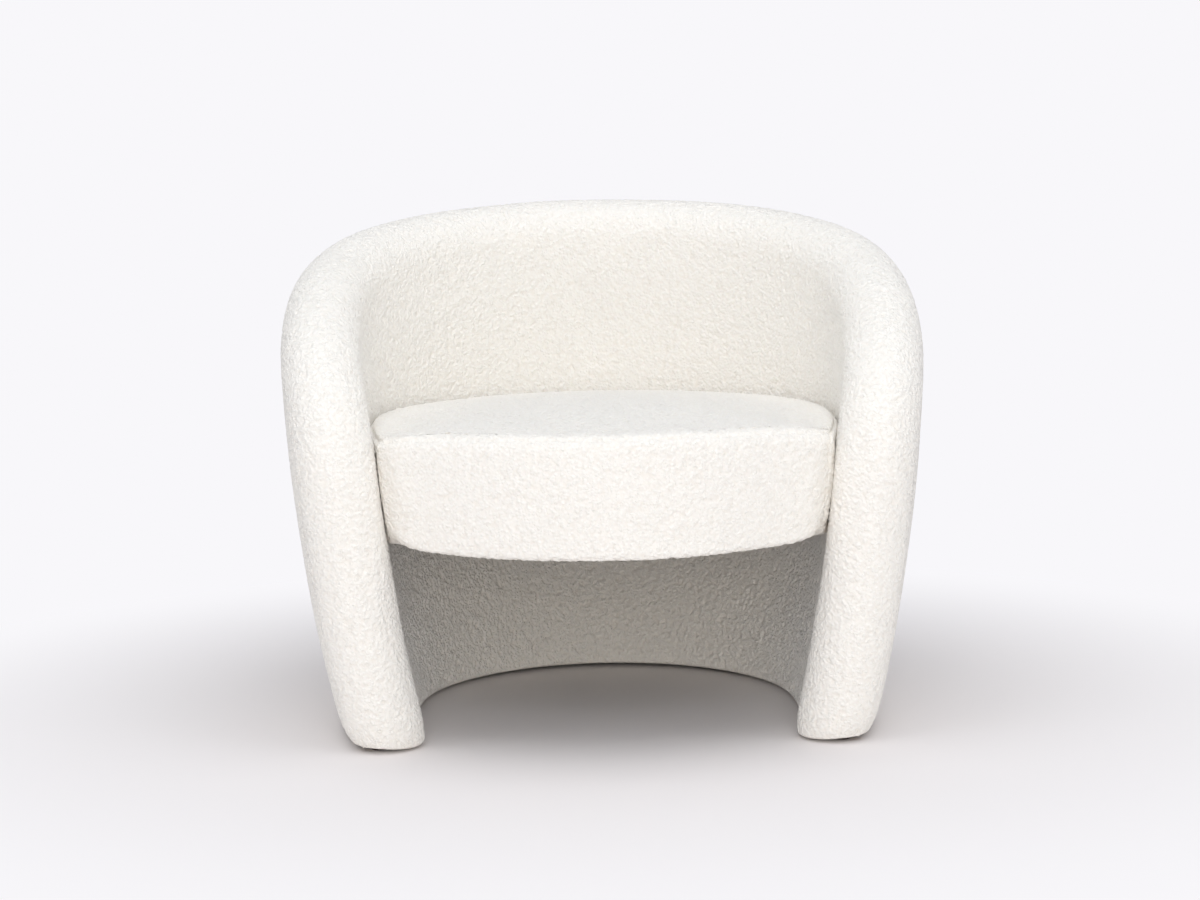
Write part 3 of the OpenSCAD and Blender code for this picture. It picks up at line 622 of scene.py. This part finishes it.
def seat_grid(fineness, section, finish):
    """Rings whose rows come from section, closed by a patch whose heights come from finish. The
    numbers of steps are the coarse ones times fineness."""
    n_back, n_side, n_corner, n_rows = (fineness * n for n in (36, 28, 2, 11))
    columns = seat_columns(n_back, n_side, n_corner)
    inset, z = section(np.linspace(0, 1, n_rows + 1)[:, None], *seat_facts(columns))
    rings = np.roll(seat_ring(columns, inset, z), -(n_back // 2), axis=1)
    inner = finish(patch(rings[-1], n_back, n_side), rings[-1])
    ids = np.arange(rings.shape[0] * rings.shape[1]).reshape(rings.shape[:2])
    closed = np.concatenate([ids, ids[:, :1]], axis=1)
    top = patch_ids(ids[-1], ids.size, n_back, n_side)
    quads = np.concatenate([grid_quads(closed), grid_quads(top, flip=True)])
    return np.concatenate([rings.reshape(-1, 3), inner.reshape(-1, 3)]), quads, ids[0], ids, top


# %% [markdown]
# ### Sections
#
# Two sections give the rings their form: the cloth that shows, and the hidden hollow that fits over
# the seat's rails and webbing.

# %% Seat sections
def seat_section(share, low, top, off_shelf, corner_lift):
    """The seat's side, from the lip up, in ninths: one straight under the frame, one in a quarter
    ellipse round the lower edge, five up a slightly bulging side, and two in a quarter ellipse over
    the top edge. A corner's lift grows over the first two, by their share^1.5, and is gone at the
    top."""
    edge, edge_in, under_seam = 0.009, 0.0078, 0.0126
    lip = lip_depth + lip_more * off_shelf
    at = share * 9
    a = np.pi / 2 * np.clip(at - 1, 0, 1)
    up = np.clip((at - 2) / 5, 0, 1)
    b = np.radians(84) * np.clip((at - 7) / 2, 0, 1)
    under = edge + (lip - edge) * (1 - np.clip(at, 0, 1))
    waist, over_depth, over_height = 0.0012, 0.0194, 0.0216
    inset = np.where(at <= 1, under, np.where(at <= 2, edge - edge_in * np.sin(a),
                     np.where(at <= 7, waist * (2 * up - 1) ** 2,
                              waist + over_depth * (1 - np.cos(b)))))
    side_low, side_top = low + edge, top - under_seam
    z = np.where(at <= 2, low + edge * (1 - np.cos(a)), np.where(
        at <= 7, side_low + (side_top - side_low) * up, side_top + over_height * np.sin(b)))
    return inset, z + corner_lift * np.clip(at / 2, 0, 1) ** 1.5 * (1 - up)


def seat_hollow(share, low, top, off_shelf, corner_lift):
    """The hidden side: up round the rails, then flat over the webbing."""
    cloth, rail_foot, over_web = 0.003, 0.0033, 0.020
    lip = lip_depth + lip_more * off_shelf
    at = share * 9
    rise = np.clip((at - 1) / 5, 0, 1)
    inset = np.where(at <= 0, lip, lip_depth + over_web * np.clip((at - 6) / 3, 0, 1))
    start = low + rail_foot * off_shelf
    z = start + (web_top_z - start) * rise + 0 * top
    return inset + 0 * z, np.where(at <= 0, low + cloth, z)


seat_front = seat_grid(coarse, seat_section, crowned)
seat_rear = seat_grid(1, seat_hollow, lambda points, edge: points)
print("seat front", seat_front[0].shape, "crown", seat_front[0][:, 2].max().round(4))

# %% [markdown]
# ## Stuffing the seat
#
# Foam swells against its cloth, more in the middle of a face than near a seam. Blender's cloth
# simulation finds that shape: a closed copy of the seat with a quarter of the final fineness is
# blown up by a little pressure, without gravity, while its hidden parts and its seam are held. Only
# how far each point moved is used, scaled down so that the largest move is six millimetres. It is
# carried to the fine grid by a smooth interpolation, so the fine cloth keeps its regular grid and
# its exact edges.

# %% Cloth simulation
largest_bulge = 0.006
sim_fineness, sim_frames, sim_pressure, sim_quality = 2, 20, 4, 6
seam_row_share, free_row_share, seam_hold = 0.9, 0.2, 0.95


def finer(field, times, closed=False):
    """Puts times - 1 values between the rows of an array, on a Catmull-Rom curve through them:
    b + f/2 * (c - a + f * (2a - 5b + 4c - d + f * (3 (b - c) + d - a)))."""
    n = len(field) - (not closed)
    at = np.arange(n * times + (not closed)) / times
    k = np.minimum(at.astype(int), n - 1)
    f = (at - k).reshape((-1,) + (1,) * (field.ndim - 1))
    a, b, c, d = ((field[(k + step) % len(field)] if closed else field[np.clip(k + step, 0, n)])
                  for step in (-1, 0, 1, 2))
    return b + f / 2 * (c - a + f * (2 * a - 5 * b + 4 * c - d + f * (3 * (b - c) + d - a)))


def stuffed_moves(grid):
    """Simulates a closed copy of the seat's coarse grid, and returns how far its points moved. The
    top is free, and so are the front's columns above free_row_share of the rows."""
    points, quads, loop, ids, top = grid
    count = len(points)
    n_side, n_back = top.shape[0] - 1, top.shape[1] - 1
    base = patch(points[loop], n_back, n_side)
    base_ids = patch_ids(loop, count, n_back, n_side)
    every = np.concatenate([points, base.reshape(-1, 3)])
    shell = put_mesh("stuffing", every, np.concatenate([quads, grid_quads(base_ids)]),
                     np.empty((0, 3), np.int64))
    held = shell.vertex_groups.new(name="held")
    rows, cols = ids.shape
    front = ids[:, (np.arange(cols) > n_side - 2) & (np.arange(cols) < n_side + n_back + 2)]
    free = np.zeros(len(every), bool)
    free[front[round(free_row_share * rows):]] = True
    free[top] = True
    held.add(np.flatnonzero(~free).tolist(), 1, "REPLACE")
    held.add(ids[round(seam_row_share * (rows - 1))].tolist(), seam_hold, "REPLACE")
    cloth = shell.modifiers.new("stuffing", "CLOTH")
    cloth.settings.vertex_group_mass = "held"
    cloth.settings.quality = sim_quality
    cloth.settings.use_pressure = True
    cloth.settings.uniform_pressure_force = sim_pressure
    cloth.settings.effector_weights.gravity = 0
    cloth.point_cache.frame_start, cloth.point_cache.frame_end = 1, sim_frames
    scene = bpy.context.scene
    for frame_number in range(1, sim_frames + 1):
        scene.frame_set(frame_number)
    graph = bpy.context.evaluated_depsgraph_get()
    swollen = shell.evaluated_get(graph).to_mesh()
    moved = np.empty(3 * len(every), np.float32)
    swollen.vertices.foreach_get("co", moved)
    scene.frame_set(1)
    bpy.data.objects.remove(shell)
    moves = (moved.reshape(-1, 3) - every)[:count]
    largest = np.linalg.norm(moves, axis=1).max()
    print("stuffing moved the cloth by up to", (1000 * largest).round(1), "mm")
    return moves * min(1, largest_bulge / largest)


rough_seat = seat_grid(sim_fineness, seat_section, crowned)
moves = stuffed_moves(rough_seat)
times = coarse // sim_fineness
ids, top = rough_seat[3:]
fine_ids, fine_top = seat_front[3:]
seat_front[0][fine_top] += finer(finer(moves[top], times).swapaxes(0, 1), times).swapaxes(0, 1)
seat_front[0][fine_ids[:-1]] += finer(finer(moves[ids], times).swapaxes(0, 1), times,
                                      closed=True).swapaxes(0, 1)[:-1]

# %% [markdown]
# ## The seat's seam
#
# The top of the seat and the band round it are sewn together along the top edge. The thread pulls
# the seam in, so it shows as a soft groove in the looped cloth, a little uneven where the loops
# fold over it.

# %% Seat
groove_depth, groove_half_width = 0.0026, 0.0032

rings = seat_front[0][seat_front[3]]
row_gap = np.linalg.norm(np.diff(rings, axis=0), axis=2)
height = np.concatenate([np.zeros_like(row_gap[:1]), np.cumsum(row_gap, axis=0)])
seam_row = round(seam_row_share * (len(rings) - 1))
from_seam = height - height[seam_row]
groove = np.zeros(len(seat_front[0]))
groove[seat_front[3]] = groove_depth * np.exp(-(from_seam / groove_half_width) ** 2)
seat_pad = pad("seat_cushion", seat_front[:3], seat_rear[:3], groove)

# %% [markdown]
# ## Dust covers
#
# Black non-woven cloth closes the undersides. One piece is stapled under the seat's frame and sags
# slightly, and one is stapled under the foot of the wall. Both are thin sheets with a small real
# thickness, given by a Solidify modifier.

# %% Dust sheets
dust_thickness = 0.0005
seat_dust_z, seat_dust_sag = 0.2792, 0.003
seat_dust_rear, seat_dust_front = -0.0022, 0.048
foot_dust_z, foot_dust_inset = 0.0055, 0.017
foot_strip_width = 2 * (half_t - foot_dust_inset)


def dust_sheet(name, points, quads):
    """A grid thickened by a Solidify modifier, and its area: half the sum of its quads' crosses."""
    made = put_mesh(name, points, quads, np.empty((0, 3), np.int64))
    solid = made.modifiers.new("thickness", "SOLIDIFY")
    solid.thickness, solid.offset = dust_thickness, 0
    return made, float(np.linalg.norm(crosses(points, quads), axis=1).sum() / 2)


def seat_dust_grid():
    """A patch on the seat's outline that sags by sag * (1 - far^2), where far is the distance from
    the crown's middle, 1 at the nearest part of the edge."""
    n_back, n_side, n_corner = 56, 46, 4
    columns = seat_columns(n_back, n_side, n_corner)
    off_shelf = seat_facts(columns)[2][None]
    inset = seat_dust_rear + (seat_dust_front - seat_dust_rear) * off_shelf
    ring = seat_ring(columns, inset, np.full_like(inset, seat_dust_z))
    edge = np.roll(ring, -(n_back // 2), axis=1)[0]
    inner = patch(edge, n_back, n_side)
    far = from_crown(inner)[1] / from_crown(edge)[1].min()
    inner[..., 2] -= seat_dust_sag * np.clip(1 - far ** 2, 0, 1)
    ids = patch_ids(np.arange(len(edge)), len(edge), n_back, n_side)
    return np.concatenate([edge, inner.reshape(-1, 3)]), grid_quads(ids)


def foot_dust_grid(across=6, along=240):
    """A strip under the foot, across the wall's thickness and along its run."""
    run = np.linspace(-1, 1, along + 1) * (half_run - nose_depth)
    off = np.linspace(-0.5, 0.5, across + 1)[:, None] * foot_strip_width
    points = wall_point(run, np.full((1, 1), foot_dust_z), off)
    return points.reshape(-1, 3), grid_quads(np.arange(points.size // 3).reshape(across + 1, -1))


seat_dust, seat_dust_area = dust_sheet("seat_dust_sheet", *seat_dust_grid())
foot_dust, foot_dust_area = dust_sheet("foot_dust_sheet", *foot_dust_grid())
print("dust sheets:", round(seat_dust_area, 4), "and", round(foot_dust_area, 4), "square metres")

# %% [markdown]
# ## Materials
#
# Each material is a small tree of shader nodes. Colours are written as they look on a screen, in
# hexadecimal sRGB, and one function turns them to the linear values that Blender works with. The
# others add a node with its settings and its links, and make what several materials share.

# %% Material helpers
def linear(hex_colour):
    """sRGB hex to linear: c / 12.92 below 0.04045, else ((c + 0.055) / 1.055)^2.4."""
    c = np.array([int(hex_colour[k:k + 2], 16) for k in (1, 3, 5)]) / 255
    return (*np.where(c <= 0.04045, c / 12.92, ((c + 0.055) / 1.055) ** 2.4).tolist(), 1)


def plug(tree, node, inputs):
    """Gives each of a node's inputs, by name or number, a value or the output of another node."""
    for name, value in inputs.items():
        if isinstance(value, bpy.types.NodeSocket):
            tree.links.new(value, node.inputs[name])
        else:
            node.inputs[name].default_value = value


def add(tree, kind, inputs=None, **settings):
    """Adds a shader node with its properties, given as settings, and its inputs."""
    made = tree.nodes.new("ShaderNode" + kind)
    for name, value in settings.items():
        setattr(made, name, value)
    plug(tree, made, inputs or {})
    return made


def material(name):
    """An empty material with a Principled surface, its tree and its object coordinates."""
    made = bpy.data.materials.new(name)
    made.use_nodes = True
    tree = made.node_tree
    tree.nodes.clear()
    surface = add(tree, "BsdfPrincipled")
    add(tree, "OutputMaterial", {"Surface": surface.outputs[0]})
    return made, tree, surface, add(tree, "TexCoord").outputs["Object"]


def ramp(tree, value, low, high, dark, light):
    """A colour between two hex values, as value goes from low to high."""
    share = add(tree, "MapRange", {"Value": value, "From Min": low, "From Max": high})
    return add(tree, "Mix", {0: share.outputs[0], 6: linear(dark), 7: linear(light)},
               data_type="RGBA").outputs[2]


def dress(tree, surface, colour, roughness, height, strength, distance):
    """Gives a surface its colour, its roughness and a bump."""
    bump = add(tree, "Bump", {"Height": height, "Strength": strength, "Distance": distance})
    plug(tree, surface, {"Base Color": colour, "Roughness": roughness, "Normal": bump.outputs[0]})


def bands(tree, place, width_mm, axis, distortion=0.0):
    """Light and dark bands in turn along an axis, each about width_mm wide: a wave texture of scale
    s repeats every 0.314 / s metres."""
    return add(tree, "TexWave", {"Vector": place, "Scale": 1000 / width_mm / 6.28,
                                 "Distortion": distortion}, bands_direction=axis).outputs["Fac"]


# %% [markdown]
# ### Boucle
#
# Wool boucle is woven from yarn whose loops stand up from the cloth. The eye sees soft round knots
# with small shadows between them, no gloss, and a pale haze where the fibres catch light from the
# side. The knots are real geometry. The bump adds what is finer: curled strands about four
# millimetres long, and single fibres. Between the knots and strands the colour is only a trace
# deeper, a painted shade in the hollows between the loops: what shows the knots is their shading.

# %% Boucle
boucle, tree, surface, place = material("wool_boucle")
strand_mm, fibre_mm, strand_bend = 4.0, 0.9, 0.0035
warp = add(tree, "TexNoise", {"Vector": place, "Scale": 1000 / (2 * strand_mm), "Detail": 1})
bent = add(tree, "VectorMath", {0: warp.outputs["Color"], 1: (0.5, 0.5, 0.5)},
           operation="SUBTRACT")
bent = add(tree, "VectorMath", {0: bent.outputs[0], "Scale": strand_bend}, operation="SCALE")
bent = add(tree, "VectorMath", {0: place, 1: bent.outputs[0]}, operation="ADD")
strands = add(tree, "TexVoronoi", {"Vector": bent.outputs[0], "Scale": 1000 / strand_mm,
                                   "Smoothness": 0.4}, feature="SMOOTH_F1")
fibres = add(tree, "TexNoise", {"Vector": place, "Scale": 1000 / fibre_mm, "Detail": 2})
strand_height = add(tree, "MapRange", {"Value": strands.outputs["Distance"], "From Min": 0.75,
                                       "From Max": 0.05})
bump = add(tree, "Bump", {"Height": fibres.outputs["Fac"], "Strength": 0.35, "Distance": 0.0004})
bump = add(tree, "Bump", {"Height": strand_height.outputs[0], "Strength": 0.8,
                          "Distance": 0.0018, "Normal": bump.outputs[0]})
# The cream base colour is painted a trace darker where the knots and strands are low: painted shade
# in the hollows between the loops.
knot = add(tree, "Attribute", attribute_name="curl")
depth = add(tree, "Math", {0: knot.outputs["Fac"], 1: strand_height.outputs[0]}, operation="ADD")
cream_and_painted_shade = ramp(tree, depth.outputs[0], 0.3, 1.4, "#F4EFE7", "#F8F5EF")
plug(tree, surface, {"Base Color": cream_and_painted_shade, "Roughness": 0.95, "Normal": bump.outputs[0],
                     "Specular IOR Level": 0.2, "Sheen Weight": 0.12, "Sheen Roughness": 0.5,
                     "Sheen Tint": linear("#FBF8F3")})

# %% [markdown]
# ### Inside and underneath
#
# The frame's birch plywood shows its layers as thin lines at its edges, the skins are bendable
# plywood with an open grain, and the rails are beech with fine short flecks. The webbing is woven
# polypropylene and rubber, the glides are moulded polypropylene, and the dust cloth is spun and
# pressed into small points.

# %% Wood
def wood(name, dark, light, grain_mm, along, layer_mm=0.0):
    """Wood with grain stretched along one axis, and thin layer lines across z where layer_mm is
    given. grain_mm is the grain's width."""
    made, tree, surface, place = material(name)
    stretch = 0.06
    stretched = add(tree, "Mapping", {"Vector": place, "Scale": tuple(
        stretch if axis == along else 1.0 for axis in "xyz")})
    grain = add(tree, "TexNoise", {"Vector": stretched.outputs[0], "Scale": 1000 / grain_mm,
                                   "Detail": 6, "Roughness": 0.6})
    colour = ramp(tree, grain.outputs["Fac"], 0.3, 0.7, dark, light)
    if layer_mm:
        share = add(tree, "MapRange", {"Value": bands(tree, place, layer_mm, "Z", 0.4),
                                       "From Min": 0.75, "From Max": 1.0, "To Max": 0.45})
        colour = add(tree, "Mix", {0: share.outputs[0], 6: colour, 7: linear(dark)},
                     data_type="RGBA").outputs[2]
    dress(tree, surface, colour, 0.6, grain.outputs["Fac"], 0.3, 0.0003)
    return made


birch_ply = wood("birch_plywood", "#B08A5A", "#D9BE93", 3, "x", layer_mm=3)
upright_ply = wood("birch_plywood_upright", "#B08A5A", "#D9BE93", 3, "z")
bendy_ply = wood("bendable_plywood", "#9C6F45", "#C79A6B", 2, "z")
beech = wood("beech", "#B98D62", "#D7B088", 1.2, "x")

# %% Cloth, webbing, plastic and steel
point_mm, thread_mm, grit_mm, spangle_mm = 1.5, 2.0, 0.8, 2.5

dust_cloth, tree, surface, place = material("spunbond_dust_cloth")
points = add(tree, "TexVoronoi", {"Vector": place, "Scale": 1000 / point_mm, "Randomness": 0.15})
colour = ramp(tree, points.outputs["Distance"], 0.1, 0.5, "#151515", "#242424")
dress(tree, surface, colour, 0.9, points.outputs["Distance"], 0.5, 0.0002)

webbing, tree, surface, place = material("elastic_webbing")
weave = add(tree, "Math", {k: bands(tree, place, thread_mm, axis) for k, axis in enumerate("XY")},
            operation="MULTIPLY")
colour = ramp(tree, weave.outputs[0], 0.0, 0.8, "#3C2414", "#7A4E2E")
dress(tree, surface, colour, 0.8, weave.outputs[0], 0.6, 0.0004)

glide_plastic, tree, surface, place = material("moulded_polypropylene")
grit = add(tree, "TexNoise", {"Vector": place, "Scale": 1000 / grit_mm, "Detail": 3})
colour = ramp(tree, grit.outputs["Fac"], 0.3, 0.7, "#2E2019", "#3B2A21")
dress(tree, surface, colour, 0.5, grit.outputs["Fac"], 0.2, 0.0001)

zinc_steel, tree, surface, place = material("zinc_plated_steel")
spangle = add(tree, "TexNoise", {"Vector": place, "Scale": 1000 / spangle_mm, "Detail": 2})
colour = ramp(tree, spangle.outputs["Fac"], 0.3, 0.7, "#A9ABAD", "#C9CBCC")
plug(tree, surface, {"Base Color": colour, "Roughness": 0.35, "Metallic": 1})

# %% [markdown]
# ## Everything in its place
#
# Each new piece rides on the chair's only body, hides the CAD solids that it stands for, and gets
# its finish. The CAD parts that stay, such as the frame, the webbing and the glides, only get their
# material.

# %% Pieces and CAD parts
pads = (
    (roll_pad, 0.9, ("wall_cover", "inside_foam")),
    (outside_pad, 0.9, ("outside_cover", "outside_foam")),
    (lining_pad, 0.9, ("lower_cover", "lower_foam")),
    (seat_pad, 0.85, ("seat_cover", "seat_foam")),
)
for piece, fill, nodes in pads:
    piece.data.materials.append(boucle)
    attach(piece, "root")
    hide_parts(*nodes)

for piece, node in ((seat_dust, "seat_dust_cover"), (foot_dust, "base_dust_cover")):
    piece.data.materials.append(dust_cloth)
    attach(piece, "root")
    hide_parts(node)

finishes = (
    (glide_plastic, ("glide_",)),
    (zinc_steel, ("seat_screw_",)),
    (webbing, ("long_strap_", "cross_strap_")),
    (upright_ply, ("former_",)),
    (birch_ply, ("base_ring", "shelf_ring", "seat_platform")),
    (bendy_ply, ("inside_skin", "outside_skin", "lower_skin")),
    (beech, ("left_", "right_", "back_rail", "seat_front_rail", "seat_side_rail")),
)
for name, cad_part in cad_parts.items():
    for finish, starts in finishes:
        if name.startswith(starts):
            cad_part.data.materials.clear()
            cad_part.data.materials.append(finish)

# %% [markdown]
# ## Floor and light
#
# The photograph was taken on a pale sweep, in soft light from above and from all sides. The floor
# is a large disc. Near the chair it is an ordinary pale surface that takes the chair's shadow, and
# further out it fades, for the camera only, to the plain background colour, so no horizon shows.
# Most of the light is slightly cool. One warm lamp stands low in front and reaches in under the
# seat, where the photograph is warmest.

# %% Floor
floor_radius, fade_from, fade_to = 30, 0.4, 1.2
background_hex, floor_hex = "#F8F7FA", "#F7F2F0"

bpy.ops.mesh.primitive_circle_add(vertices=128, radius=floor_radius, fill_type="NGON")
floor = bpy.context.object
floor.name = "floor"

floor_finish, tree, surface, place = material("pale_sweep")
plug(tree, surface, {"Base Color": linear(floor_hex), "Roughness": 0.85,
                     "Specular IOR Level": 0.1})
away = add(tree, "VectorMath", {0: place}, operation="LENGTH")
fade = add(tree, "MapRange", {"Value": away.outputs["Value"], "From Min": fade_from,
                              "From Max": fade_to}, interpolation_type="SMOOTHSTEP")
seen = add(tree, "LightPath")
share = add(tree, "Math", {0: fade.outputs[0], 1: seen.outputs["Is Camera Ray"]},
            operation="MULTIPLY")
plain = add(tree, "Emission", {"Color": linear(background_hex), "Strength": 1})
mixed = add(tree, "MixShader", {0: share.outputs[0], 1: surface.outputs[0],
                                2: plain.outputs[0]})
plug(tree, tree.nodes["Material Output"], {"Surface": mixed.outputs[0]})
floor.data.materials.append(floor_finish)

# %% Light
cool, neutral = (0.965, 1, 1.065, 1), (0.985, 1, 1.03, 1)
warm = (1.06, 0.995, 0.9, 1)

world = bpy.data.worlds.new("studio")
bpy.context.scene.world = world
world.use_nodes = True
tree = world.node_tree
tree.nodes.clear()
seen = add(tree, "LightPath")
direct = seen.outputs["Is Camera Ray"]
for ray in ("Is Glossy Ray", "Is Transmission Ray"):
    direct = add(tree, "Math", {0: direct, 1: seen.outputs[ray]}, operation="MAXIMUM").outputs[0]
around = add(tree, "Background", {"Color": cool, "Strength": 0.4})
behind = add(tree, "Background", {"Color": linear(background_hex), "Strength": 1})
mixed = add(tree, "MixShader", {0: direct, 1: around.outputs[0], 2: behind.outputs[0]})
add(tree, "OutputWorld", {"Surface": mixed.outputs[0]})

# name, place, height of the point that it faces, width, power in watts, colour
lamps = (
    ("above", (0, -0.6, 3.0), 0.4, 2.4, 35, neutral),
    ("in_front", (0, -3.8, 2.2), 0.4, 2.0, 28, cool),
    ("low_left", (-3, -1.8, 0.6), 0.2, 1.2, 14, cool),
    ("low_right", (3, -1.8, 0.6), 0.2, 1.2, 14, cool),
    ("low_in_front", (0, -4.6, 0.75), 0.3, 1.4, 36, warm),
)
for name, lamp_place, aim_z, width, power, colour in lamps:
    data = bpy.data.lights.new(name, "AREA")
    data.shape, data.size, data.energy, data.color = "SQUARE", width, power, colour[:3]
    lamp = bpy.data.objects.new(name, data)
    toward = Vector((0, 0, aim_z)) - Vector(lamp_place)
    lamp.matrix_world = Matrix.Translation(lamp_place) @ (
        toward.to_track_quat("-Z", "Y").to_matrix().to_4x4())
    bpy.context.scene.collection.objects.link(lamp)

bpy.context.scene.view_settings.view_transform = "Standard"
